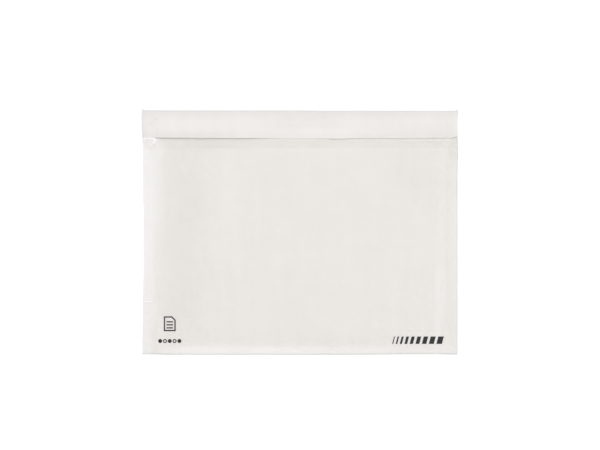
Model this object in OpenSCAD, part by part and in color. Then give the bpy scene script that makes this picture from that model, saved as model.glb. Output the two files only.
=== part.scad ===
// Packing list envelope: a flat pouch of clear film with a fold-over closing flap,
// backed by a coat of adhesive and a release liner that is slit into two pieces.
// X runs along the flap, Y runs up to the flap's fold and Z points out of the front.
// The origin is the middle of the liner's underside, where the envelope lies.

/* [Envelope] */
// Outer width, along the flap
env_w = 230; // [150:1:330]
// Outer height, from the bottom edge to the flap's fold
env_h = 178; // [120:1:250]

/* [Films] */
// Thickness of the clear film
film_t = 0.05; // [0.03:0.01:0.1]
// Air between the back film and the loose front film
pocket_gap = 0.02; // [0.01:0.01:0.2]

/* [Seals] */
// Width of each side weld
side_seal_w = 7; // [4:0.5:12]
// Width of the bottom weld
bottom_seal_w = 5.5; // [3:0.5:10]
// Slack between the welds and the loose front film
seal_slack = 0.2; // [0.1:0.05:0.5]

/* [Flap] */
// Depth of the flap, from its fold to its free edge
flap_d = 20; // [14:1:35]
// How far the front film runs up behind the flap
mouth_overlap = 10; // [4:1:11]
// Air between the front film and the flap
flap_gap = 0.6; // [0.3:0.05:1.5]
// Slack between the turning fold and the end of the back film
fold_slack = 0.06; // [0.04:0.01:0.2]

/* [Backing] */
// Thickness of the adhesive coat
adhesive_t = 0.03; // [0.02:0.01:0.06]
// Bare film left around the adhesive
dry_margin = 2; // [1:0.5:6]
// Thickness of the release liner
liner_t = 0.08; // [0.05:0.01:0.15]
// Width of the liner's pull strip
strip_w = 50; // [20:1:100]
// Width of the slit between the pull strip and the rest of the liner
slit_w = 0.2; // [0.1:0.05:0.5]

/* [Hidden] */
$fn = 64;

// Edges of the outline
right_x = env_w / 2;
left_x = -right_x;
top_y = env_h / 2;
bottom_y = -top_y;

// Heights of the layers, from the liner up
adhesive_z = liner_t;
back_z = adhesive_z + adhesive_t;
seal_z = back_z + film_t;
front_z = seal_z + pocket_gap;
flap_z = front_z + film_t + flap_gap;

// The fold wraps from the underside of the back film to the top of the flap
fold_r = (flap_z + film_t - back_z) / 2;
fold_bore_r = fold_r - film_t;
fold_y = top_y - fold_r;
fold_z = back_z + fold_r;

// The back film stops clear of the ring that the fold sweeps as it turns
fold_reach = sqrt(fold_r * fold_r - fold_bore_r * fold_bore_r);
back_end_y = fold_y - fold_reach - fold_slack;

// Inner edges of the welds, and the mouth of the pouch under the flap
pocket_right_x = right_x - side_seal_w;
pocket_left_x = -pocket_right_x;
pocket_bottom_y = bottom_y + bottom_seal_w;
flap_edge_y = top_y - flap_d;
mouth_y = flap_edge_y + mouth_overlap;

// Middle of the slit in the liner
slit_x = left_x + strip_w;

// A flat layer between two corners, with its underside at z
module layer(x0, x1, y0, y1, z, t) {
    translate([x0, y0, z])
        cube([x1 - x0, y1 - y0, t]);
}

// The rear wall of the pouch, which carries everything else
module back_film() {
    color("gainsboro")
        layer(left_x, right_x, bottom_y, back_end_y, back_z, film_t);
}

// The front film's left margin, welded to the back film
module left_side_seal() {
    color("whitesmoke")
        layer(left_x, pocket_left_x, bottom_y, mouth_y, seal_z, film_t);
}

// The front film's right margin, welded to the back film
module right_side_seal() {
    color("whitesmoke")
        layer(pocket_right_x, right_x, bottom_y, mouth_y, seal_z, film_t);
}

// The front film's lower margin, welded to the back film between the side welds
module bottom_seal() {
    color("whitesmoke")
        layer(pocket_left_x, pocket_right_x, bottom_y, pocket_bottom_y, seal_z, film_t);
}

// The loose front wall of the pouch, free at the mouth and held at the bottom weld
module front_film() {
    color("linen")
        layer(
            pocket_left_x + seal_slack, pocket_right_x - seal_slack,
            pocket_bottom_y + seal_slack, mouth_y, front_z, film_t
        );
}

// The flap's panel, which lies over the mouth
module closing_flap() {
    color("white")
        layer(left_x, right_x, flap_edge_y, fold_y, flap_z, film_t);
}

// The half-round fold between the back film and the flap's panel
module flap_fold() {
    color("white")
        translate([left_x, fold_y, fold_z])
            rotate([90, 0, 90])
                linear_extrude(env_w)
                    difference() {
                        circle(fold_r);
                        circle(fold_bore_r);
                        translate([-2 * fold_r, -2 * fold_r])
                            square([2 * fold_r, 4 * fold_r]);
                    }
}

// The pressure-sensitive coat on the back of the pouch
module adhesive_layer() {
    color("khaki")
        layer(
            left_x + dry_margin, right_x - dry_margin,
            bottom_y + dry_margin, top_y - dry_margin, adhesive_z, adhesive_t
        );
}

// The narrow piece of the liner, which is peeled first
module liner_pull_strip() {
    color("antiquewhite")
        layer(left_x, slit_x - slit_w / 2, bottom_y, top_y, 0, liner_t);
}

// The wide piece of the liner
module liner_main() {
    color("antiquewhite")
        layer(slit_x + slit_w / 2, right_x, bottom_y, top_y, 0, liner_t);
}

back_film();
left_side_seal();
right_side_seal();
bottom_seal();
front_film();
closing_flap();
flap_fold();
adhesive_layer();
liner_pull_strip();
liner_main();
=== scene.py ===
"""Looks of the packing list envelope: clear films, welds, fold-over flap, adhesive, liner and print.

Lengths in the shape functions are millimetres, in the frame of the CAD part: X along the flap,
Y up to the flap's fold, Z out of the front. Meshes are written in metres.
"""

import math

import bpy
import numpy as np
from bpy.props import FloatProperty, FloatVectorProperty, IntProperty, PointerProperty
from bpy.types import NodeSocket, Operator, Panel, PropertyGroup
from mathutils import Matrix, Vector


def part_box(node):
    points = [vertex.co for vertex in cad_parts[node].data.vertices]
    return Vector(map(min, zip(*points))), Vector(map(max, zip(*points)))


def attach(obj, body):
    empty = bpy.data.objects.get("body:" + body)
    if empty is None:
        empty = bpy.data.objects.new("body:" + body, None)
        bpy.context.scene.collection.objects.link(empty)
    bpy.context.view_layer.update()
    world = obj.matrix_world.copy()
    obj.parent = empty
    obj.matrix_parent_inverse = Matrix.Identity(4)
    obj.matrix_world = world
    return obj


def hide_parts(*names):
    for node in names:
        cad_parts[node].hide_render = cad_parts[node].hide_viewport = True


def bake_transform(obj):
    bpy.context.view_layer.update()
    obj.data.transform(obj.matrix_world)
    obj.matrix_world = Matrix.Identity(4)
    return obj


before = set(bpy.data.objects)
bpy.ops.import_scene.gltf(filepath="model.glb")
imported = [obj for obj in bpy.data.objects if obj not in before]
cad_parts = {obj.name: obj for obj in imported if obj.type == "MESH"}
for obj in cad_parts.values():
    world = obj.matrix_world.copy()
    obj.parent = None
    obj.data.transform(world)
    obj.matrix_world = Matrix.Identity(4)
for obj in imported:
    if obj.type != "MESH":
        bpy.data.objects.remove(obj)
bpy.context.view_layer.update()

bl_info = {
    "name": "Packing List Envelope",
    "version": (1, 0, 0),
    "blender": (4, 5, 0),
    "location": "View3D > Sidebar > Envelope",
    "description": "Models the films, flap, liner and print of a packing list envelope",
    "category": "Object",
}

MM = 0.001


def node_box(name):
    """Lowest and highest corner of a CAD node, in millimetres."""
    low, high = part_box(name)
    return np.array(low) / MM, np.array(high) / MM


# Corners of the solids
BACK_LOW, BACK_HIGH = node_box("back_film")
FOLD_LOW, FOLD_HIGH = node_box("flap_fold")
FLAP_LOW, FLAP_HIGH = node_box("closing_flap")
GLUE_LOW, GLUE_HIGH = node_box("adhesive_layer")
STRIP_LOW, STRIP_HIGH = node_box("liner_pull_strip")
LINER_LOW, LINER_HIGH = node_box("liner_main")
LEFT_WELD_HIGH = node_box("left_side_seal")[1]
RIGHT_WELD_LOW = node_box("right_side_seal")[0]
BOTTOM_WELD_HIGH = node_box("bottom_seal")[1]

# Edges and heights that the looks share with the solids
LEFT, BOTTOM = BACK_LOW[0], BACK_LOW[1]
RIGHT, TOP = BACK_HIGH[0], FOLD_HIGH[1]
POCKET_LEFT, POCKET_RIGHT = LEFT_WELD_HIGH[0], RIGHT_WELD_LOW[0]
POCKET_BOTTOM, MOUTH = BOTTOM_WELD_HIGH[1], LEFT_WELD_HIGH[1]
FLAP_EDGE, FOLD_Y = FLAP_LOW[1], FLAP_HIGH[1]
FILM_T = BACK_HIGH[2] - BACK_LOW[2]
WELD_TOP = LEFT_WELD_HIGH[2]
FOLD_R = (FOLD_HIGH[2] - FOLD_LOW[2]) / 2
FOLD_Z = (FOLD_HIGH[2] + FOLD_LOW[2]) / 2


# Sizes and colours that a user would change

class FilmSettings(PropertyGroup):
    """The pouch's clear films and their welds."""

    puff: FloatProperty(
        name="Puff", description="Height of the air in the pocket",
        default=0.55 * MM, min=0.0, max=3 * MM, subtype="DISTANCE", unit="LENGTH")
    puff_run: FloatProperty(
        name="Puff run", description="Distance from a weld over which the film rises",
        default=7 * MM, min=2 * MM, max=40 * MM, subtype="DISTANCE", unit="LENGTH")
    ripple: FloatProperty(
        name="Ripple", description="Height of the film's slow waves",
        default=0.05 * MM, min=0.0, max=0.5 * MM, subtype="DISTANCE", unit="LENGTH")
    haze: FloatProperty(
        name="Haze", description="Share of light that a clear film scatters",
        default=0.50, min=0.0, max=1.0, subtype="FACTOR")
    weld_haze: FloatProperty(
        name="Weld haze", description="Share of light that a weld scatters over and above the film",
        default=0.34, min=0.0, max=1.0, subtype="FACTOR")
    tint: FloatVectorProperty(
        name="Tint", description="Colour of the light that a film scatters",
        default=(0.957, 0.937, 0.918), min=0.0, max=1.0, size=3, subtype="COLOR")
    left_tint: FloatVectorProperty(
        name="Left tint", description="Colour of the light that the left weld scatters",
        default=(0.957, 0.953, 0.948), min=0.0, max=1.0, size=3, subtype="COLOR")


class FlapSettings(PropertyGroup):
    """The closing flap."""

    bow: FloatProperty(
        name="Bow", description="How far the flap arches between its fold and its edge",
        default=0.45 * MM, min=0.0, max=3 * MM, subtype="DISTANCE", unit="LENGTH")
    lift: FloatProperty(
        name="Lift", description="Most that the flap's edge stands off the pouch",
        default=1.15 * MM, min=0.0, max=3 * MM, subtype="DISTANCE", unit="LENGTH")
    haze: FloatProperty(
        name="Haze", description="Share of light that the flap scatters",
        default=0.78, min=0.0, max=1.0, subtype="FACTOR")
    tint: FloatVectorProperty(
        name="Tint", description="Colour of the light that the flap scatters",
        default=(0.830, 0.810, 0.786), min=0.0, max=1.0, size=3, subtype="COLOR")


class BackingSettings(PropertyGroup):
    """The adhesive coat and the release liner."""

    paper: FloatVectorProperty(
        name="Paper", description="Colour of the liner's paper",
        default=(0.735, 0.709, 0.664), min=0.0, max=1.0, size=3, subtype="COLOR")
    glue: FloatVectorProperty(
        name="Adhesive", description="Colour of the adhesive",
        default=(0.93, 0.915, 0.88), min=0.0, max=1.0, size=3, subtype="COLOR")
    cockle: FloatProperty(
        name="Cockle", description="Height of the liner's waves",
        default=0.01 * MM, min=0.0, max=0.04 * MM, subtype="DISTANCE", unit="LENGTH")


class PrintSettings(PropertyGroup):
    """The printed marks."""

    ink: FloatVectorProperty(
        name="Ink", description="Colour of the ink",
        default=(0.012, 0.012, 0.013), min=0.0, max=1.0, size=3, subtype="COLOR")
    line: FloatProperty(
        name="Line", description="Width of the marks' lines",
        default=0.9 * MM, min=0.2 * MM, max=3 * MM, subtype="DISTANCE", unit="LENGTH")
    bars: IntProperty(
        name="Bars", description="Number of slanted bars in the right mark",
        default=9, min=2, max=9)


class StageSettings(PropertyGroup):
    """Floor, lights and camera."""

    lens: FloatProperty(
        name="Lens", description="Focal length in millimetres",
        default=85.0, min=20.0, max=200.0)
    view_w: FloatProperty(
        name="View width", description="Width of the view at the envelope",
        default=437.1 * MM, min=0.1, max=2.0, subtype="DISTANCE", unit="LENGTH")
    centre: FloatVectorProperty(
        name="View centre", description="Where the camera points on the envelope",
        default=(0.25 * MM, 5.5 * MM), size=2, subtype="XYZ", unit="LENGTH")
    sky: FloatProperty(
        name="Sky", description="Strength of the even light all round",
        default=0.66, min=0.0, max=3.0)
    key: FloatProperty(
        name="Key", description="Power of the soft box that shades without glare, in watts",
        default=410.0, min=0.0, max=3000.0)
    panel: FloatProperty(
        name="Panel", description="Power of the soft box that the gloss reflects, in watts",
        default=57.0, min=0.0, max=3000.0)


GROUPS = {
    "envelope_film": FilmSettings,
    "envelope_flap": FlapSettings,
    "envelope_backing": BackingSettings,
    "envelope_print": PrintSettings,
    "envelope_stage": StageSettings,
}


# Curves that the shapes and the frosting are made of

def ease(low, high, value):
    """Smooth step from 0 at low to 1 at high, which may lie below low."""
    t = np.clip((value - low) / (high - low), 0.0, 1.0)
    return t * t * (3.0 - 2.0 * t)


def bump(value, middle, width):
    """Bell of height 1 at middle."""
    return np.exp(-((value - middle) / width) ** 2)


def between(low, high, share):
    """The place that lies a share of the way from low to high."""
    return low + share * (high - low)


def slope(low, high):
    """A smooth step, to be used in a table."""
    def step(place):
        return ease(low, high, place)
    return step


def bell(middle, width):
    """A bell, to be used in a table."""
    def swell(place):
        return bump(place, middle, width)
    return swell


def product(curves, place):
    """Several slopes and bells at one place, multiplied."""
    return math.prod(curve(place) for curve in curves)


def profile(rows, place):
    """Sum of a table's rows: each is an amount and the slopes and bells that limit it."""
    return sum(amount * product(curves, place) for amount, *curves in rows)


def patches(rows, x, y):
    """Sum of a table's rows: each is an amount and the slopes and bells that limit it across and up."""
    return sum(amount * product(across, x) * product(up, y) for amount, across, up in rows)


# Outline of the films, in millimetres

# How far the left edge is drawn in: a little beside the flap, more along the weld and most at mid-height
LEFT_BOW = (
    (0.25, slope(62.0, 72.0)),
    (0.85, slope(70.0, 62.0)),
    (-0.425, slope(-35.0, -88.0)),
    (0.45, slope(26.0, 16.0), slope(-50.0, -24.0)),
)

# How far the right edge stands out below the flap's corner, and is drawn in beside the flap
RIGHT_SWELL = (
    (0.45, bell(58.0, 9.0)),
    (-0.12, slope(67.0, 75.0)),
)

# How far the bottom edge lies above a straight cut, at its left corner and along its right part
BOTTOM_RISE = (
    (0.4, slope(-96.0, -110.0)),
    (0.42, slope(40.0, 82.0)),
    (-0.2, slope(98.0, 112.0)),
)

# How far the fold lies below a straight line on the right half
TOP_DROP = ((0.21, slope(0.0, 18.0)),)

# How far in from each edge the film moves with it
LEFT_RUN, RIGHT_RUN = 16.0, 14.0
BOTTOM_RUN, TOP_RUN = 10.0, 12.0

# The liner stops this far short of the film's side edges and of the fold, which turn close by it
EDGE_TRIM = 0.1


def near_left(x):
    """How far points move with the left edge, from 0 to 1."""
    return ease(LEFT + LEFT_RUN, LEFT, x)


def near_right(x):
    """How far points move with the right edge, from 0 to 1."""
    return ease(RIGHT - RIGHT_RUN, RIGHT, x)


def outline(x, y):
    """Moves points near the edges to the outline of a cut and welded film."""
    near_bottom = ease(BOTTOM + BOTTOM_RUN, BOTTOM, y)
    near_top = ease(TOP - TOP_RUN, TOP, y)
    moved_x = x + near_left(x) * profile(LEFT_BOW, y) + near_right(x) * profile(RIGHT_SWELL, y)
    moved_y = y + near_bottom * profile(BOTTOM_RISE, x) - near_top * profile(TOP_DROP, x)
    return moved_x, moved_y


# Relief of the front film, in millimetres

# Creases: start, end, half width, height and how much highlight is painted along them, painted shade where
# below 0
CREASES = (
    ((-115.5, 68.2), (-107.0, 68.5), 0.75, 0.28, 0.30),
    ((-107.4, 68.6), (-104.9, 67.2), 0.80, 0.45, 0.60),
    ((-104.8, 67.5), (-106.9, 64.4), 1.05, 0.45, 0.60),
    ((-106.0, 64.4), (-108.9, 58.4), 1.00, -0.06, -0.24),
    ((-113.2, 65.0), (-112.6, 62.0), 0.80, -0.06, -0.20),
    ((-114.8, -50.7), (-107.6, -50.8), 0.60, 0.26, 0.40),
    ((-114.6, -47.9), (-107.6, -48.7), 0.50, 0.14, 0.20),
    ((-111.2, -46.5), (-107.4, -46.4), 0.50, 0.10, 0.15),
    ((72.0, 66.6), (113.5, 66.7), 0.45, 0.26, 0.20),
    ((98.0, 65.3), (113.8, 65.3), 0.40, 0.20, 0.00),
    ((103.0, -26.0), (102.0, -84.0), 3.20, 0.12, 0.00),
    ((-60.0, 66.0), (-66.0, -40.0), 7.00, 0.10, 0.00),
    ((28.0, 60.0), (22.0, -60.0), 9.00, 0.07, 0.00),
)

# A crease fades from this share of its length inside each end to that share beyond it
FADE_INSIDE, FADE_BEYOND = 0.2, 0.15

# How suddenly the loose film leaves a side weld and the bottom weld
SIDE_CLIMB, BOTTOM_CLIMB = 1.4, 1.7

# Air that gathers under the flap's edge on the left half
AIR_AT_FLAP = ((0.5, [slope(-8.0, -50.0)], [slope(FLAP_EDGE - 10.0, FLAP_EDGE - 1.0)]),)

# Share of the air that the flap presses out under the middle of its edge
PRESSED_OUT = ((0.85, [bell(3.0, 20.0)], [slope(FLAP_EDGE - 18.0, FLAP_EDGE - 1.0)]),)


def ridge(x, y, start, end, width, height):
    """A small straight crease from start to end, which fades at both ends."""
    (x0, y0), (x1, y1) = start, end
    length = math.hypot(x1 - x0, y1 - y0)
    along = ((x - x0) * (x1 - x0) + (y - y0) * (y1 - y0)) / length ** 2
    across = ((x - x0) * (y1 - y0) - (y - y0) * (x1 - x0)) / length
    fade = ease(-FADE_BEYOND, FADE_INSIDE, along) * ease(1.0 + FADE_BEYOND, 1.0 - FADE_INSIDE, along)
    return height * fade * bump(across, 0.0, width)


def ripples(x, y):
    """Slow waves of a thin film that lies nearly flat, from -1 to 1."""
    upright = np.sin(x / 11.0 + 0.9 * np.sin(y / 47.0))
    level = np.sin(y / 14.0 + x / 31.0 + 1.3)
    slanted = np.sin(x / 5.3 - y / 19.0 + 0.4)
    return 0.5 * upright + 0.3 * level + 0.2 * slanted


def climb(distance, run, power):
    """Rises from 0 at a weld to 1 in the loose film."""
    return 1.0 - np.exp(-(np.clip(distance, 0.0, None) / run) ** power)


def front_top(x, y):
    """Height of the front film's upper face, welded margins included."""
    film = bpy.context.scene.envelope_film
    run = film.puff_run / MM
    loose = climb(np.minimum(x - POCKET_LEFT, POCKET_RIGHT - x), run, SIDE_CLIMB)
    loose = loose * climb(y - POCKET_BOTTOM, run, BOTTOM_CLIMB)
    air = film.puff / MM + film.ripple / MM * ripples(x, y) + patches(AIR_AT_FLAP, x, y)
    height = loose * (1.0 - patches(PRESSED_OUT, x, y)) * air
    for start, end, width, rise, _ in CREASES:
        height = height + ridge(x, y, start, end, width, rise)
    return WELD_TOP + height


# Frosting of the front film, with light and shade painted into it: above 0 it is whiter than plain film, and
# below 0 clearer and so darker

# The left weld up the envelope, frosted and whiter still with painted light where the film rises from it
# towards the lamps, how far its full white reaches into the pocket, and how it fades from there
LEFT_FROST_AND_LIGHT = ((0.46,), (-0.207, slope(0.0, -80.0)))
LEFT_FROST_AND_LIGHT_REACH, LEFT_FROST_AND_LIGHT_FADE = 1.5, 6.5

# The right weld, which is whiter towards its cut edge and fades at the top and low down
RIGHT_FROST_START, RIGHT_FROST_FULL = POCKET_RIGHT + 1.0, POCKET_RIGHT + 6.0
RIGHT_FROST = (
    (0.17, [slope(RIGHT_FROST_START, RIGHT_FROST_FULL)], [slope(66.0, 30.0)]),
    (-0.068, [slope(RIGHT_FROST_START, RIGHT_FROST_FULL)], [slope(-20.0, -60.0)]),
)

# The bottom weld along the envelope, frosted and with painted light, most towards the left, and the heights
# from the pocket at which it starts and is full
BOTTOM_FROST_AND_LIGHT = (
    (0.14,),
    (0.29, slope(-100.0, -82.0)),
    (-0.1305, slope(-5.0, 25.0)),
    (-0.1436, slope(58.0, 76.0)),
)
BOTTOM_FROST_AND_LIGHT_START, BOTTOM_FROST_AND_LIGHT_FULL = 4.2, -2.2

# The painted shadow under the flap's edge starts and is full at these heights, and these places on the left
FLAP_PAINTED_SHADOW_UP = slope(60.3, 62.5)
FLAP_PAINTED_SHADOW_LEFT = slope(-103.0, -96.0)

FRONT_TONE_AND_PAINTED_LIGHT = (
    # painted shade beside the left weld, where the film rises from it, made by clearer film, with a paler
    # streak further in
    (-0.28, [bell(-86.0, 18.0)], [slope(-86.0, -60.0)]),
    (0.09, [bell(-53.0, 9.0)], [slope(-40.0, 0.0)]),
    # a painted highlight along the right weld, stronger low down, and clearer film at the upper right
    (0.07, [bell(103.0, 7.0)], [slope(64.0, 52.0)]),
    (0.16, [bell(100.5, 2.6)], [slope(-10.0, -50.0), slope(-85.0, -76.0)]),
    (-0.15, [slope(55.0, 85.0)], [slope(5.0, 40.0)]),
    (-0.25, [slope(107.0, 111.0)], [slope(48.0, 58.0)]),
    # painted shadow of the flap on the film under its edge, made by clearer film: lost at the left, and
    # darkest left of the middle and at the middle
    (-0.20, [FLAP_PAINTED_SHADOW_LEFT], [FLAP_PAINTED_SHADOW_UP]),
    (0.20, [FLAP_PAINTED_SHADOW_LEFT, bell(-89.0, 12.0)], [FLAP_PAINTED_SHADOW_UP]),
    (-0.16, [FLAP_PAINTED_SHADOW_LEFT, bell(-58.0, 14.0)], [FLAP_PAINTED_SHADOW_UP]),
    (-0.14, [FLAP_PAINTED_SHADOW_LEFT, bell(3.0, 22.0)], [FLAP_PAINTED_SHADOW_UP]),
    # the left margin: whiter beside the hooked crease and below it, part of the painted light of the left
    # margin, painted shade at the crease and under the hook, and clearer low down
    (0.18, [bell(-100.5, 4.5)], [bell(58.5, 5.5)]),
    (0.13, [bell(-103.0, 5.0)], [slope(0.0, 15.0), slope(56.0, 48.0)]),
    (-0.25, [bell(-108.4, 1.8)], [bell(60.0, 4.0)]),
    (-0.55, [bell(-111.5, 3.6)], [bell(63.8, 3.4)]),
    (-0.25, [bell(-106.0, 3.2)], [slope(-56.0, -76.0)]),
)


def weld_frost_and_painted_light(x, y):
    """How white the welds are made: frosted, with painted light on the left and bottom ones and on the film
    beside the left one.
    """
    past_left = np.clip(x - POCKET_LEFT - LEFT_FROST_AND_LIGHT_REACH, 0.0, None)
    left = profile(LEFT_FROST_AND_LIGHT, y) * np.exp(-past_left / LEFT_FROST_AND_LIGHT_FADE)
    right = patches(RIGHT_FROST, x, y)
    bottom = profile(BOTTOM_FROST_AND_LIGHT, x) * ease(BOTTOM_FROST_AND_LIGHT_START, BOTTOM_FROST_AND_LIGHT_FULL, y - POCKET_BOTTOM)
    return np.maximum.reduce([left, right, bottom])


def front_frost_and_painted_light(x, y):
    """How white the front film is made: its frosted welds, and the light and shade painted on the welds,
    beside them, along the creases and under the flap's edge.
    """
    frost_and_painted_light = weld_frost_and_painted_light(x, y) + patches(FRONT_TONE_AND_PAINTED_LIGHT, x, y)
    # Painted highlights along the creases, and painted shade where the amount is below 0
    for start, end, width, _, painted_crease_light in CREASES:
        frost_and_painted_light = frost_and_painted_light + ridge(x, y, start, end, width, painted_crease_light)
    return frost_and_painted_light


def no_frost(x, y):
    """Film that isn't frosted anywhere."""
    return np.zeros_like(x)


# Shape and frosting of the flap, in millimetres

# Share of the rows on the flat panel, from the free edge: the rest go round the fold
PANEL_SHARE = 0.86

# How far the free edge lies above its place on the solid: lower past the left end, lowest at its bulge and
# high at the right corner, with a slight wave all along
FLAP_LINE = (
    (0.05,),
    (-0.27, slope(-84.0, -70.0)),
    (-0.44, bell(28.0, 12.0)),
    (0.2, slope(88.0, 100.0)),
    (0.9, slope(RIGHT - 4.5, RIGHT)),
)
FLAP_WAVE, FLAP_WAVE_RUN = 0.05, 6.1

# How far the free edge stands off the pouch, as a share of the lift: most on the left, flat in the middle, a
# bulge to the right of it, and a curled right corner
FLAP_LIFT = (
    (0.007,),
    (1.0, slope(-108.5, -101.5), slope(-12.0, -42.0)),
    (-0.36, slope(-92.0, -72.0), slope(-12.0, -42.0)),
    (0.275, slope(16.0, 30.0)),
    (-0.088, slope(34.0, 46.0)),
    (0.055, slope(86.0, 98.0)),
    (0.17, bell(28.0, 9.0)),
    (0.42, slope(108.5, 114.0)),
)

# Middles of two small dents, their depth and width, and the painted shade in them: how much clearer the film
# is made there and how wide
FLAP_DENTS = ((-104.7, 82.0), (-108.3, 78.3))
DENT_DEPTH, DENT_W = 0.12, 1.2
DENT_PAINTED_SHADE, DENT_PAINTED_SHADE_W = 0.05, 1.1

# Places round the fold, from 0 at the panel to 1 at the back film
UPPER_HALF = (slope(0.5, 0.2),)
LOWER_HALF = (slope(0.45, 0.7), slope(1.0, 0.85))

# How far the fold's lower half sticks out: at its ends, fading over this width, and along its left part
EAR, EAR_W = 1.0, 0.9
EAR_LEFT = ((0.3, slope(-84.0, -112.0)),)

# How far the flap's ends lie inside the solid's: on the left, on the right, and more near the free corners
END_LEFT, END_RIGHT, END_CORNER = 0.25, 0.2, 0.3
CORNER_H = 8.0

# How far the right end stands out again at the fold's upper half
FOLD_END = ((0.6, [slope(RIGHT - 6.0, RIGHT)], [slope(83.0, 87.0)]),)

# Painted shade on the flap, which is made clearer and so darker at its fold and along its edge, more on the
# left, and painted light at the edge's middle; it is also whiter beside the left end
FLAP_PAINTED_LIGHT_AND_SHADE = (
    (-0.065, [], [slope(FOLD_Y - 9.0, FOLD_Y - 2.5)]),
    (-0.02, [], [slope(FLAP_EDGE + 6.0, FLAP_EDGE + 1.0)]),
    (-0.045, [slope(-40.0, -75.0)], [slope(FLAP_EDGE + 6.0, FLAP_EDGE + 1.0)]),
    (0.06, [bell(12.0, 32.0)], [slope(FLAP_EDGE + 10.0, FLAP_EDGE + 4.0)]),
    (0.05, [bell(-107.0, 3.5)], [slope(FLAP_EDGE + 9.0, FLAP_EDGE + 3.0)]),
)


def dents(x, y, width):
    """Round hollows of depth 1 at the flap's two dents."""
    return sum(bump(np.hypot(x - dent_x, y - dent_y), 0.0, width) for dent_x, dent_y in FLAP_DENTS)


def flap_painted_light_and_shade(x, y):
    """Painted light and shade on the flap: how much whiter or clearer it is made than plain film of its
    kind.
    """
    return patches(FLAP_PAINTED_LIGHT_AND_SHADE, x, y) - DENT_PAINTED_SHADE * dents(x, y, DENT_PAINTED_SHADE_W)


def flap_panel(x, down, bow, lift):
    """Places on the flap's panel, where down is 0 at the fold and 1 at the free edge."""
    edge_y = FLAP_EDGE + FLAP_WAVE * np.sin(x / FLAP_WAVE_RUN) + profile(FLAP_LINE, x)
    edge_z = front_top(x, np.full_like(x, FLAP_EDGE)) + FILM_T + lift * profile(FLAP_LIFT, x)
    y = between(edge_y, FOLD_Y - profile(TOP_DROP, x), 1.0 - down)
    z = between(FLAP_HIGH[2], edge_z, ease(0.0, 1.0, down)) + bow * np.sin(math.pi * down)
    return y, z - DENT_DEPTH * dents(x, y, DENT_W)


def flap_fold(x, turn):
    """Places round the half-round fold, where turn is 0 at the panel and 1 at the back film."""
    angle = math.pi / 2 - math.pi * turn
    return FOLD_Y - profile(TOP_DROP, x) + FOLD_R * np.cos(angle), FOLD_Z + FOLD_R * np.sin(angle)


def flap_ears(x, turn):
    """How far up the fold's lower half sticks out."""
    ends = EAR * np.exp(-(RIGHT - np.abs(x)) / EAR_W)
    return (ends + profile(EAR_LEFT, x)) * product(LOWER_HALF, turn)


def flap_ends(x, y, turn):
    """Moves the flap's two ends sideways to their places."""
    at_corner = END_CORNER * ease(CORNER_H, 0.0, y - FLAP_EDGE)
    moved = x + (END_LEFT + at_corner) * near_left(x) - (END_RIGHT + at_corner) * near_right(x)
    return moved + patches(FOLD_END, x, y) * product(UPPER_HALF, turn)


# Modelling helpers

SMOOTH_ANGLE = math.radians(50.0)


def deselect_everything():
    """Leaves nothing selected, so that an operator acts only on the new piece."""
    if bpy.context.mode != "OBJECT":
        bpy.ops.object.mode_set(mode="OBJECT")
    bpy.ops.object.select_all(action="DESELECT")


def make_active(piece):
    """Selects one piece and makes it the active one."""
    deselect_everything()
    piece.select_set(True)
    bpy.context.view_layer.objects.active = piece


def read_points(piece):
    """The mesh's points as an array of three columns."""
    points = np.empty(len(piece.data.vertices) * 3, np.float32)
    piece.data.vertices.foreach_get("co", points)
    return points.reshape(-1, 3).astype(float)


def write_points(piece, x, y, z):
    """Sets the mesh's points from three columns in millimetres."""
    points = np.stack(np.broadcast_arrays(x, y, z), axis=1) * MM
    piece.data.vertices.foreach_set("co", points.astype(np.float32).ravel())
    piece.data.update()


def thicken(piece, thickness):
    """Gives a surface its thickness, below it, in millimetres."""
    make_active(piece)
    modifier = piece.modifiers.new("Thickness", "SOLIDIFY")
    modifier.thickness = thickness * MM
    modifier.offset = -1.0
    bpy.ops.object.modifier_apply(modifier=modifier.name)


def film_sheet(name, columns, rows, place, thickness):
    """A grid whose points place() moves, with a thickness below them. place takes 0 to 1 twice."""
    deselect_everything()
    bpy.ops.mesh.primitive_grid_add(x_subdivisions=columns, y_subdivisions=rows, size=2.0)
    piece = bpy.context.active_object
    piece.name = piece.data.name = name
    points = (read_points(piece) + 1.0) / 2.0
    write_points(piece, *place(points[:, 0], points[:, 1]))
    thicken(piece, thickness)
    bpy.ops.object.shade_smooth_by_angle(angle=SMOOTH_ANGLE)
    return piece


def store(piece, name, values):
    """Stores a number for each point, which the materials read."""
    kept = piece.data.attributes.new(name, "FLOAT", "POINT")
    kept.data.foreach_set("value", values.astype(np.float32))


# How dark a cut edge is made, partly as painted shade, which on the pouch is strongest on the right and
# along the bottom, away from the light, and along the fold at the top: left and right of the pouch and of
# the flap, along the bottom, and at the top
POUCH_RIMS = (0.05, 0.80)
FLAP_RIMS = (0.6, 0.45)
BOTTOM_RIM = ((0.80,), (-0.2, bell(99.0, 3.0)), (0.3, slope(101.0, 104.5)))
TOP_RIM = 0.85

# Distances from an edge at which its rim starts and is full
LEFT_RIM_SPAN, RIGHT_RIM_SPAN = (2.2, 1.0), (1.2, 0.3)
BOTTOM_RIM_SPAN, TOP_RIM_SPAN = (1.6, 0.5), (1.3, 0.5)


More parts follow.
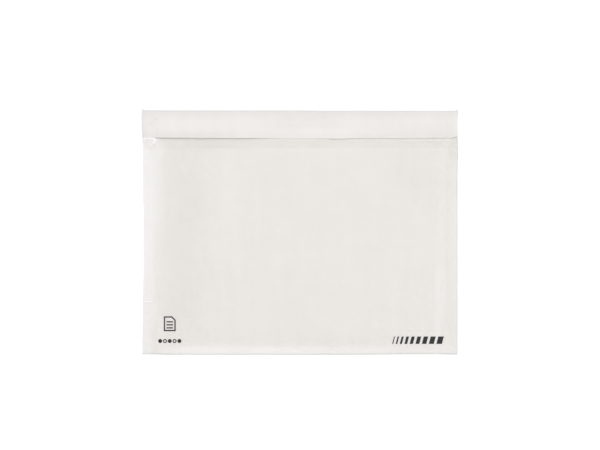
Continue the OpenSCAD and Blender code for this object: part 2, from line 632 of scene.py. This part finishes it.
def mark_film(piece, frost_and_painted_light, rims=POUCH_RIMS):
    """Stores how frosted a film is, with the light and shade painted into it, and how near its points are to
    the envelope's cut edges, where painted shade partly darkens it.
    """
    points = read_points(piece) / MM
    x, y = points[:, 0], points[:, 1]
    left_rim, right_rim = rims
    rim = np.maximum.reduce([
        left_rim * ease(*LEFT_RIM_SPAN, x - LEFT - profile(LEFT_BOW, y)),
        right_rim * ease(*RIGHT_RIM_SPAN, RIGHT + profile(RIGHT_SWELL, y) - x),
        profile(BOTTOM_RIM, x) * ease(*BOTTOM_RIM_SPAN, y - BOTTOM - profile(BOTTOM_RISE, x)),
        TOP_RIM * ease(*TOP_RIM_SPAN, TOP - profile(TOP_DROP, x) - y),
    ])
    store(piece, "rim", rim)
    store(piece, "frost_and_painted_light", frost_and_painted_light(x, y))


def finish_piece(piece, material, slot, *nodes):
    """Gives a piece its material and hides the solids that it stands for. The slot is not used."""
    piece.data.materials.clear()
    piece.data.materials.append(material)
    if nodes:
        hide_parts(*nodes)


# Materials

FILM_IOR, GLUE_IOR = 1.49, 1.48
FILM_CLEAR = (0.985, 0.984, 0.98, 1.0)
GLOSS_WHITE = (1.0, 1.0, 1.0, 1.0)
# The white of frosted film, which is also the colour of the light painted into the films
FROST_AND_PAINTED_LIGHT_WHITE = (0.945, 0.94, 0.935)
# The dark of a cut edge, which is partly painted shade
RIM_PAINTED_SHADE = (0.67, 0.69, 0.705)
FLOOR_GREY = (0.88, 0.88, 0.88, 1.0)

# Haze that a cut edge has over and above its film, partly as painted shade, and the share of the front
# film's haze in the back film
RIM_HAZE = 0.3
BACK_HAZE = 0.3

# Fineness of the films' grain, in features a metre
FILM_GRAIN, WELD_GRAIN, FLAP_GRAIN = 900.0, 1500.0, 800.0

# Shares of the paper's clouds and fibres in its pattern
CLOUD_SHARE, FIBRE_SHARE = 0.65, 0.35


def new_material(name):
    """An empty node material and its output node."""
    material = bpy.data.materials.new(name)
    material.use_nodes = True
    material.node_tree.nodes.clear()
    output = material.node_tree.nodes.new("ShaderNodeOutputMaterial")
    return material, material.node_tree, output


def add_node(tree, kind, inputs=None, **settings):
    """A new node with its settings, and its sockets set to values or linked to other sockets."""
    node = tree.nodes.new(kind)
    for name, value in settings.items():
        setattr(node, name, value)
    for name, value in (inputs or {}).items():
        if isinstance(value, NodeSocket):
            tree.links.new(value, node.inputs[name])
        else:
            node.inputs[name].default_value = value
    return node


def noise(tree, scale, stretch=(1.0, 1.0, 1.0), detail=3.0, roughness=0.5):
    """Noise on the piece's own coordinates, with scale in features a metre."""
    place = add_node(tree, "ShaderNodeTexCoord")
    mapping = add_node(tree, "ShaderNodeMapping", {"Vector": place.outputs["Object"], "Scale": stretch})
    texture = add_node(
        tree, "ShaderNodeTexNoise",
        {"Vector": mapping.outputs["Vector"], "Scale": scale, "Detail": detail, "Roughness": roughness})
    return texture.outputs["Fac"]


def attribute(tree, name):
    """A number that store() kept for each point."""
    return add_node(tree, "ShaderNodeAttribute", attribute_name=name).outputs["Fac"]


def remap(tree, value, low, high, from_low=0.3, from_high=0.7):
    """Spreads a pattern's middle range over low to high."""
    node = add_node(
        tree, "ShaderNodeMapRange",
        {"Value": value, "From Min": from_low, "From Max": from_high, "To Min": low, "To Max": high})
    return node.outputs["Result"]


def mix_colours(tree, factor, first, second, blend="MIX"):
    """A colour that goes from first to second with a pattern. first may be a colour or a socket."""
    start = first if isinstance(first, NodeSocket) else (*first, 1.0)
    node = add_node(
        tree, "ShaderNodeMix", {"Factor": factor, "A": start, "B": (*second, 1.0)},
        data_type="RGBA", blend_type=blend)
    return node.outputs["Result"]


def calculate(tree, operation, first, second):
    """Arithmetic on two sockets, or on a socket and a number."""
    return add_node(tree, "ShaderNodeMath", {0: first, 1: second}, operation=operation).outputs["Value"]


def relief(tree, height, strength, distance):
    """A bump from a pattern."""
    node = add_node(
        tree, "ShaderNodeBump", {"Height": height, "Strength": strength, "Distance": distance})
    return node.outputs["Normal"]


def outer_only(tree, value):
    """A pattern that counts where light enters a film, and not where it leaves."""
    side = add_node(tree, "ShaderNodeNewGeometry")
    entering = calculate(tree, "SUBTRACT", 1.0, side.outputs["Backfacing"])
    return calculate(tree, "MULTIPLY", value, entering)


def mix_shaders(tree, factor, first, second):
    """A shader that goes from first to second."""
    return add_node(tree, "ShaderNodeMixShader", {"Fac": factor, 1: first, 2: second}).outputs["Shader"]


def shade(colour, factor):
    """A colour made lighter or darker."""
    return tuple(channel * factor for channel in colour)


def film_skin(tree, cloud, normal):
    """Clear film with a gloss, which is uneven by clouds."""
    fresnel = add_node(tree, "ShaderNodeFresnel", {"IOR": FILM_IOR, "Normal": normal})
    clear = add_node(tree, "ShaderNodeBsdfTransparent", {"Color": FILM_CLEAR})
    gloss = add_node(
        tree, "ShaderNodeBsdfGlossy",
        {"Color": GLOSS_WHITE, "Roughness": remap(tree, cloud, 0.15, 0.24), "Normal": normal})
    reflected = outer_only(tree, fresnel.outputs["Fac"])
    return mix_shaders(tree, reflected, clear.outputs["BSDF"], gloss.outputs["BSDF"])


def film_milk(tree, tint, frost_and_painted_light, rim, normal):
    """What a film scatters: streaked, whiter where it is frosted and where light is painted, and darker at a
    cut edge, partly as painted shade.
    """
    streak = noise(tree, 26.0, stretch=(6.0, 0.6, 1.0), detail=3.0)
    body = mix_colours(tree, remap(tree, streak, 0.0, 1.0), shade(tint, 0.990), shade(tint, 1.006))
    whiter = mix_colours(tree, frost_and_painted_light, body, FROST_AND_PAINTED_LIGHT_WHITE)
    darker = mix_colours(tree, rim, whiter, RIM_PAINTED_SHADE, blend="MULTIPLY")
    milk = add_node(
        tree, "ShaderNodeBsdfPrincipled",
        {"Base Color": darker, "Roughness": 0.55, "Specular IOR Level": 0.2, "Normal": normal})
    return milk.outputs["BSDF"]


def film_material(name, tint, haze, frost_and_light_strength, grain):
    """Clear film: light passes, a little scatters as haze, and the surface is glossy."""
    material, tree, output = new_material(name)
    cloud = noise(tree, 38.0, detail=4.0)
    normal = relief(tree, noise(tree, grain, detail=2.0), 0.03, 0.02 * MM)
    frost_and_painted_light, rim = attribute(tree, "frost_and_painted_light"), attribute(tree, "rim")
    skin = film_skin(tree, cloud, normal)
    milk = film_milk(tree, tint, frost_and_painted_light, rim, normal)
    amount = remap(tree, cloud, 0.97 * haze, 1.03 * haze)
    # More haze at the cut edges, which is partly painted shade, and with the frosting and the light and
    # shade painted into the films
    amount = calculate(tree, "ADD", amount, calculate(tree, "MULTIPLY", rim, RIM_HAZE))
    amount = calculate(tree, "ADD", amount, calculate(tree, "MULTIPLY", frost_and_painted_light, frost_and_light_strength))
    tree.links.new(mix_shaders(tree, outer_only(tree, amount), skin, milk), output.inputs["Surface"])
    return material


def surface_material(name, sockets):
    """A material with one Principled shader, whose values and patterns sockets(tree) gives."""
    material, tree, output = new_material(name)
    shader = add_node(tree, "ShaderNodeBsdfPrincipled", sockets(tree))
    tree.links.new(shader.outputs["BSDF"], output.inputs["Surface"])
    return material


def paper_material(name, colour):
    """Siliconised release paper: cloudy formation, fine fibres and a soft sheen."""
    def sockets(tree):
        formation = noise(tree, 160.0, detail=5.0, roughness=0.6)
        fibre = noise(tree, 500.0, stretch=(1.0, 5.0, 1.0), detail=3.0)
        pattern = calculate(
            tree, "ADD",
            calculate(tree, "MULTIPLY", formation, CLOUD_SHARE),
            calculate(tree, "MULTIPLY", fibre, FIBRE_SHARE))
        tone = remap(tree, pattern, 0.0, 1.0)
        return {
            "Base Color": mix_colours(tree, tone, shade(colour, 0.972), shade(colour, 1.012)),
            "Roughness": remap(tree, fibre, 0.48, 0.62),
            "Normal": relief(tree, pattern, 0.08, 0.02 * MM),
            "Specular IOR Level": 0.35, "Coat Weight": 0.25, "Coat Roughness": 0.3,
        }
    return surface_material(name, sockets)


def glue_material(name, colour):
    """Tacky adhesive: glossy, half clear, with streaks along the way it was coated."""
    def sockets(tree):
        streak = noise(tree, 40.0, stretch=(0.5, 9.0, 1.0), detail=4.0)
        peel = noise(tree, 900.0, detail=2.0)
        tone = remap(tree, streak, 0.0, 1.0)
        return {
            "Base Color": mix_colours(tree, tone, shade(colour, 0.985), shade(colour, 1.01)),
            "Alpha": outer_only(tree, remap(tree, streak, 0.36, 0.42)),
            "Roughness": remap(tree, peel, 0.10, 0.22),
            "Normal": relief(tree, peel, 0.25, 0.03 * MM),
            "Specular IOR Level": 0.5, "IOR": GLUE_IOR,
        }
    return surface_material(name, sockets)


def ink_material(name, colour):
    """Flexo ink on film: near black, a little uneven where the plate printed thin."""
    def sockets(tree):
        spread = noise(tree, 1400.0, detail=3.0)
        tone = remap(tree, spread, 0.0, 1.0)
        return {
            "Base Color": mix_colours(tree, tone, colour, shade(colour, 2.6)),
            "Roughness": remap(tree, spread, 0.38, 0.55),
            "Normal": relief(tree, spread, 0.15, 0.01 * MM),
            "Specular IOR Level": 0.4,
        }
    return surface_material(name, sockets)


def floor_material(name):
    """Plain matt floor."""
    def sockets(tree):
        return {"Base Color": FLOOR_GREY, "Roughness": 0.9, "Specular IOR Level": 0.0}
    return surface_material(name, sockets)


# Pieces

class EnvelopeOperator:
    """What the operators share."""

    bl_options = {"REGISTER", "UNDO"}


class ENVELOPE_OT_liner(EnvelopeOperator, Operator):
    """Lays the two pieces of the release liner"""

    bl_idname = "envelope.liner"
    bl_label = "Release liner"

    rows = 90

    # The cockle dies out within this distance of the bottom edge and the fold, in millimetres
    flat_margin = 6.0

    def execute(self, context):
        paper = paper_material("release_paper", context.scene.envelope_backing.paper)
        self.lay("liner_wide_sheet", LINER_LOW, LINER_HIGH, 72, paper, "liner", "liner_main")
        self.lay("liner_pull_sheet", STRIP_LOW, STRIP_HIGH, 24, paper, "pull_strip", "liner_pull_strip")
        return {"FINISHED"}

    def lay(self, name, low, high, columns, paper, body, solid):
        """One flat piece of the liner, with a faint cockle that stays above the table."""
        cockle = bpy.context.scene.envelope_backing.cockle / MM

        def place(u, v):
            x, y = between(low[0], high[0], u), between(low[1], high[1], v)
            wave = np.sin(x / 17.0 + y / 41.0) * np.sin(y / 23.0 - x / 60.0)
            sunk = cockle * (0.5 + 0.5 * wave) * ease(0.0, self.flat_margin, TOP - np.abs(y))
            cut_x = x + near_left(x) * (profile(LEFT_BOW, y) + EDGE_TRIM)
            cut_x = cut_x - near_right(x) * (np.abs(profile(RIGHT_SWELL, y)) + EDGE_TRIM)
            cut_y = np.minimum(outline(x, y)[1], FOLD_Y - EDGE_TRIM)
            return cut_x, cut_y, high[2] - sunk

        sheet = film_sheet(name, columns, self.rows, place, high[2] - low[2] - cockle)
        finish_piece(sheet, paper, "release_paper", solid)
        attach(sheet, body)


class ENVELOPE_OT_back(EnvelopeOperator, Operator):
    """Lays the adhesive coat and the back film over it"""

    bl_idname = "envelope.back"
    bl_label = "Back film and adhesive"

    # Shares of the grid's lines, and of the film's width and height: the outer lines crowd at the edges
    near_edges = (0.0, 0.03, 0.97, 1.0), (0.0, 0.005, 0.995, 1.0)

    def execute(self, context):
        film = context.scene.envelope_film
        glue = glue_material("adhesive", context.scene.envelope_backing.glue)
        clear = film_material("clear_back_film", film.tint, BACK_HAZE * film.haze, 0.0, FILM_GRAIN)

        coat = film_sheet("adhesive_coat", 90, 120, self.place_coat, GLUE_HIGH[2] - GLUE_LOW[2])
        finish_piece(coat, glue, "adhesive", "adhesive_layer")
        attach(coat, "pouch")

        back = film_sheet("back_film_sheet", 100, 90, self.place_back, FILM_T)
        mark_film(back, no_frost)
        finish_piece(back, clear, "clear_film", "back_film")
        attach(back, "pouch")
        return {"FINISHED"}

    def place_coat(self, u, v):
        """The coat, with sides that are ragged as it was spread."""
        x, y = between(GLUE_LOW[0], GLUE_HIGH[0], u), between(GLUE_LOW[1], GLUE_HIGH[1], v)
        ragged = 0.12 * np.sin(y / 3.1) + 0.1 * np.sin(y / 1.3 + 2.0)
        at_sides = (2.0 * u - 1.0) ** 9
        return (*outline(x + ragged * at_sides, y), GLUE_HIGH[2])

    def place_back(self, u, v):
        """The flat back film, up to the fold."""
        x = between(LEFT, RIGHT, np.interp(u, *self.near_edges))
        y = between(BOTTOM, FOLD_Y, np.interp(v, *self.near_edges))
        return (*outline(x, y), BACK_HIGH[2])


class ENVELOPE_OT_front(EnvelopeOperator, Operator):
    """Lays the front film with its welded margins"""

    bl_idname = "envelope.front"
    bl_label = "Front film and welds"

    # Shares of the grid's lines, and of the half's width from its weld and of its height: the lines crowd at
    # the welds and under the flap
    from_weld = (0.0, 0.22, 1.0), (0.0, 0.10, 1.0)
    from_bottom = (0.0, 0.10, 0.62, 1.0), (0.0, 0.06, 0.86, 1.0)

    def execute(self, context):
        film = context.scene.envelope_film
        looks = film.haze, film.weld_haze
        clear = film_material("clear_front_film", film.tint, *looks, FILM_GRAIN)
        frosted = film_material("welded_film", film.tint, *looks, WELD_GRAIN)
        left_frosted = film_material("left_welded_film", film.left_tint, *looks, WELD_GRAIN)
        left = self.weld(
            "left_weld", (LEFT, BOTTOM), (POCKET_LEFT, MOUTH), (24, 520), left_frosted, "left_side_seal")
        right = self.weld(
            "right_weld", (POCKET_RIGHT, BOTTOM), (RIGHT, MOUTH), (24, 330), frosted, "right_side_seal")
        bottom = self.weld(
            "bottom_weld", (POCKET_LEFT, BOTTOM), (POCKET_RIGHT, POCKET_BOTTOM), (320, 14), frosted,
            "bottom_seal")
        self.half("front_film_left", POCKET_LEFT, clear, [left])
        self.half("front_film_right", POCKET_RIGHT, clear, [right, bottom])
        return {"FINISHED"}

    def weld(self, name, low, high, cells, frosted, solid):
        """One welded margin of the front film."""

        def place(u, v):
            x, y = between(low[0], high[0], u), between(low[1], high[1], v)
            return (*outline(x, y), front_top(x, y))

        strip = film_sheet(name, *cells, place, FILM_T)
        mark_film(strip, front_frost_and_painted_light)
        finish_piece(strip, frosted, "welded_film", solid)
        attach(strip, "pouch")
        return strip

    def half(self, name, weld_x, clear, margins):
        """Half of the loose front film, from a side weld to the middle."""

        def place(u, v):
            inward = np.interp(u if weld_x < 0 else 1.0 - u, *self.from_weld)
            x = weld_x * (1.0 - inward)
            y = between(POCKET_BOTTOM, MOUTH, np.interp(v, *self.from_bottom))
            return (*outline(x, y), front_top(x, y))

        sheet = film_sheet(name, 130, 240, place, FILM_T)
        mark_film(sheet, front_frost_and_painted_light)
        finish_piece(sheet, clear, "clear_film", "front_film")
        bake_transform(sheet)


class ENVELOPE_OT_flap(EnvelopeOperator, Operator):
    """Folds the closing flap over the mouth"""

    bl_idname = "envelope.flap"
    bl_label = "Closing flap"

    blend_lean = 0.1

    def execute(self, context):
        settings = context.scene.envelope_flap
        bow, lift = settings.bow / MM, settings.lift / MM

        def place(u, v):
            x = between(LEFT, RIGHT, u)
            down = np.clip(1.0 - v / PANEL_SHARE, 0.0, 1.0)
            turn = np.clip((v - PANEL_SHARE) / (1.0 - PANEL_SHARE), 0.0, 1.0)
            y, z = np.where(turn > 0.0, flap_fold(x, turn), flap_panel(x, down, bow, lift))
            return flap_ends(x, y, turn), y + flap_ears(x, turn), z

        flap = film_sheet("flap_sheet", 440, 52, place, FILM_T)
        mark_film(flap, flap_painted_light_and_shade, FLAP_RIMS)
        milky = film_material("flap_film", settings.tint, settings.haze, 1.0, FLAP_GRAIN)
        finish_piece(flap, milky, "flap_film", "closing_flap", "flap_fold")
        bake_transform(flap)
        return {"FINISHED"}


class ENVELOPE_OT_print(EnvelopeOperator, Operator):
    """Prints plain marks low on the front film"""

    bl_idname = "envelope.print"
    bl_label = "Printed marks"

    # Places and sizes on the front film, in millimetres
    page_place, page_size, page_cut = (-94.6, -66.4), (8.6, 10.8), 2.6
    rule_count, rule_first, rule_step = 3, 2.4, 2.2
    rule_inset, rule_height = 2.0, 0.85
    dots_place, dot_size, dot_step = (-101.6, -79.0), 2.9, 3.5
    dot_count, dot_sides = 5, 28
    ring_width, core_inset = 0.7, 0.5
    bars_place, first_bar = (67.4, -78.4), (0.7, 5.4)
    bar_gap, bar_growth, bar_slant = 1.85, 0.42, 1.4
    ink_top, ink_thickness = 0.03, 0.015

    def execute(self, context):
        settings = context.scene.envelope_print
        ink = ink_material("black_ink", settings.ink)
        self.drape("mark_sheet", self.page(settings.line / MM), ink, POCKET_LEFT, 5)
        self.drape("mark_dots", self.dots(), ink, POCKET_LEFT, 1)
        self.drape("mark_bars", self.bars(settings.bars), ink, POCKET_RIGHT, 5)
        return {"FINISHED"}

    def edit(self, piece, x, y, width, height):
        """Sets a flat piece of size 1 at its place and size, and goes into edit mode with all selected."""
        corners = read_points(piece)
        write_points(piece, x + corners[:, 0] * width, y + corners[:, 1] * height, 0.0)
        bpy.ops.object.mode_set(mode="EDIT")
        bpy.ops.mesh.select_all(action="SELECT")

    def plate(self, x, y, width, height):
        """A flat rectangle about a middle point, in edit mode with all selected."""
        deselect_everything()
        bpy.ops.mesh.primitive_plane_add(size=1.0)
        piece = bpy.context.active_object
        self.edit(piece, x, y, width, height)
        return piece

    def inset(self, thickness):
        """Sets a rim of that thickness round the selected face, which stays selected."""
        bpy.ops.mesh.inset(thickness=thickness * MM, depth=0.0)

    def page(self, line):
        """A sheet of paper with a cut corner and ruled lines."""
        (x, y), (width, height) = self.page_place, self.page_size
        outlined = self.plate(x, y, width, height)
        corner = ((x + width / 2 - self.page_cut) * MM, (y + height / 2) * MM, 0.0)
        bpy.ops.mesh.bisect(plane_co=corner, plane_no=(1.0, 1.0, 0.0), clear_outer=True)
        bpy.ops.mesh.select_all(action="SELECT")
        self.inset(line)
        bpy.ops.mesh.delete(type="FACE")
        parts = [outlined]
        for row in range(self.rule_count):
            rule_y = y - height / 2 + self.rule_first + self.rule_step * row
            parts.append(self.plate(x, rule_y, width - 2 * line - self.rule_inset, self.rule_height))
        return parts

    def dots(self):
        """A row of register dots, filled and open by turns."""
        x, y = self.dots_place
        parts = []
        for number in range(self.dot_count):
            deselect_everything()
            bpy.ops.mesh.primitive_circle_add(vertices=self.dot_sides, radius=0.5, fill_type="NGON")
            dot = bpy.context.active_object
            self.edit(dot, x + number * self.dot_step, y, self.dot_size, self.dot_size)
            if number % 2:
                self.inset(self.ring_width)
                bpy.ops.mesh.delete(type="FACE")
            else:
                self.inset(self.core_inset)
            parts.append(dot)
        return parts

    def bars(self, count):
        """A row of slanted register bars, each wider than the last."""
        (x, y), (width, height) = self.bars_place, self.first_bar
        parts = []
        for _ in range(count):
            bar = self.plate(x + width / 2, y, width, height)
            x += width + self.bar_gap
            width += self.bar_growth
            bpy.ops.mesh.select_all(action="DESELECT")
            bpy.ops.object.mode_set(mode="OBJECT")
            for vertex in bar.data.vertices:
                vertex.select = vertex.co.y > y * MM
            bpy.ops.object.mode_set(mode="EDIT")
            bpy.ops.transform.translate(value=(self.bar_slant * MM, 0.0, 0.0))
            parts.append(bar)
        return parts

    def drape(self, name, parts, ink, weld_x, cuts):
        """Joins a mark's parts, drapes them over the film and gives the ink its body."""
        deselect_everything()
        for part in parts:
            part.select_set(True)
        bpy.context.view_layer.objects.active = parts[0]
        bpy.ops.object.join()
        mark = bpy.context.active_object
        mark.name = mark.data.name = name
        bpy.ops.object.mode_set(mode="EDIT")
        bpy.ops.mesh.select_all(action="SELECT")
        bpy.ops.mesh.quads_convert_to_tris()
        bpy.ops.mesh.subdivide(number_cuts=cuts)
        bpy.ops.mesh.normals_make_consistent(inside=False)
        bpy.ops.object.mode_set(mode="OBJECT")
        points = read_points(mark) / MM
        x, y = points[:, 0], points[:, 1]
        write_points(mark, x, y, front_top(x, y) + self.ink_top)
        thicken(mark, self.ink_thickness)
        finish_piece(mark, ink, None)
        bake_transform(mark)


class ENVELOPE_OT_stage(EnvelopeOperator, Operator):
    """Sets the white floor, the soft lights and the camera"""

    bl_idname = "envelope.stage"
    bl_label = "Stage"

    # Places and sizes in metres, and the camera's sensor in millimetres
    floor_size, floor_drop = 30.0, 0.02 * MM
    key_place, key_size = (-0.4, 5.0, 7.2), 2.0
    panel_place, panel_size = (2.5, 1.5, 5.0), 3.0
    sensor = 36.0

    # Film upon film, each with two faces, needs more than Blender's own number of passes
    film_passes = 32

    def execute(self, context):
        scene, stage = context.scene, context.scene.envelope_stage
        self.add_floor()
        self.add_sky(scene, stage.sky)
        key = self.add_soft_box("key_soft_box", self.key_place, self.key_size, stage.key)
        key.visible_glossy = False
        self.add_soft_box("gloss_panel", self.panel_place, self.panel_size, stage.panel)
        self.add_camera(scene, stage)
        scene.view_settings.view_transform = "Standard"
        scene.cycles.transparent_max_bounces = self.film_passes
        return {"FINISHED"}

    def add_floor(self):
        """A pale floor just under the liner."""
        deselect_everything()
        bpy.ops.mesh.primitive_plane_add(size=self.floor_size, location=(0, 0, -self.floor_drop))
        floor = bpy.context.active_object
        floor.name = "floor"
        floor.data.materials.append(floor_material("floor_white"))

    def add_sky(self, scene, strength):
        """Even light from all round."""
        world = bpy.data.worlds.new("studio")
        world.use_nodes = True
        background = world.node_tree.nodes["Background"]
        background.inputs["Color"].default_value = (1.0, 1.0, 1.0, 1.0)
        background.inputs["Strength"].default_value = strength
        world.cycles.sampling_method = "NONE"
        scene.world = world

    def add_soft_box(self, name, place, size, power):
        """A square light that looks at the envelope."""
        bpy.ops.object.light_add(type="AREA", location=place)
        box = bpy.context.active_object
        box.name = name
        box.data.shape = "SQUARE"
        box.data.size = size
        box.data.energy = power
        box.visible_camera = False
        box.rotation_mode = "QUATERNION"
        box.rotation_quaternion = box.location.to_track_quat("Z", "Y")
        return box

    def add_camera(self, scene, stage):
        """A camera straight above, with the envelope's top edge up."""
        distance = stage.view_w / self.sensor * stage.lens
        bpy.ops.object.camera_add(
            location=(stage.centre[0], stage.centre[1], distance + WELD_TOP * MM), rotation=(0, 0, 0))
        camera = bpy.context.active_object
        camera.name = "camera"
        camera.data.sensor_width = self.sensor
        camera.data.lens = stage.lens
        scene.camera = camera


class ENVELOPE_PT_panel(Panel):
    """Lists the envelope's sizes, colours and pieces"""

    bl_idname = "ENVELOPE_PT_panel"
    bl_label = "Packing List Envelope"
    bl_space_type = "VIEW_3D"
    bl_region_type = "UI"
    bl_category = "Envelope"

    def draw(self, context):
        for name in GROUPS:
            group = getattr(context.scene, name)
            box = self.layout.box()
            for setting in group.__annotations__:
                box.prop(group, setting)
        for operator in OPERATORS:
            self.layout.operator(operator.bl_idname)


OPERATORS = (
    ENVELOPE_OT_stage,
    ENVELOPE_OT_liner,
    ENVELOPE_OT_back,
    ENVELOPE_OT_front,
    ENVELOPE_OT_flap,
    ENVELOPE_OT_print,
)


def register():
    """Registers the settings, the operators and the panel."""
    for name, group in GROUPS.items():
        bpy.utils.register_class(group)
        setattr(bpy.types.Scene, name, PointerProperty(type=group))
    for operator in OPERATORS:
        bpy.utils.register_class(operator)
    bpy.utils.register_class(ENVELOPE_PT_panel)


def unregister():
    """Removes what register added."""
    bpy.utils.unregister_class(ENVELOPE_PT_panel)
    for operator in reversed(OPERATORS):
        bpy.utils.unregister_class(operator)
    for name, group in GROUPS.items():
        delattr(bpy.types.Scene, name)
        bpy.utils.unregister_class(group)


def main():
    register()
    bpy.ops.envelope.stage()
    bpy.ops.envelope.liner()
    bpy.ops.envelope.back()
    bpy.ops.envelope.front()
    bpy.ops.envelope.flap()
    bpy.ops.envelope.print()


if __name__ == "__main__":
    main()
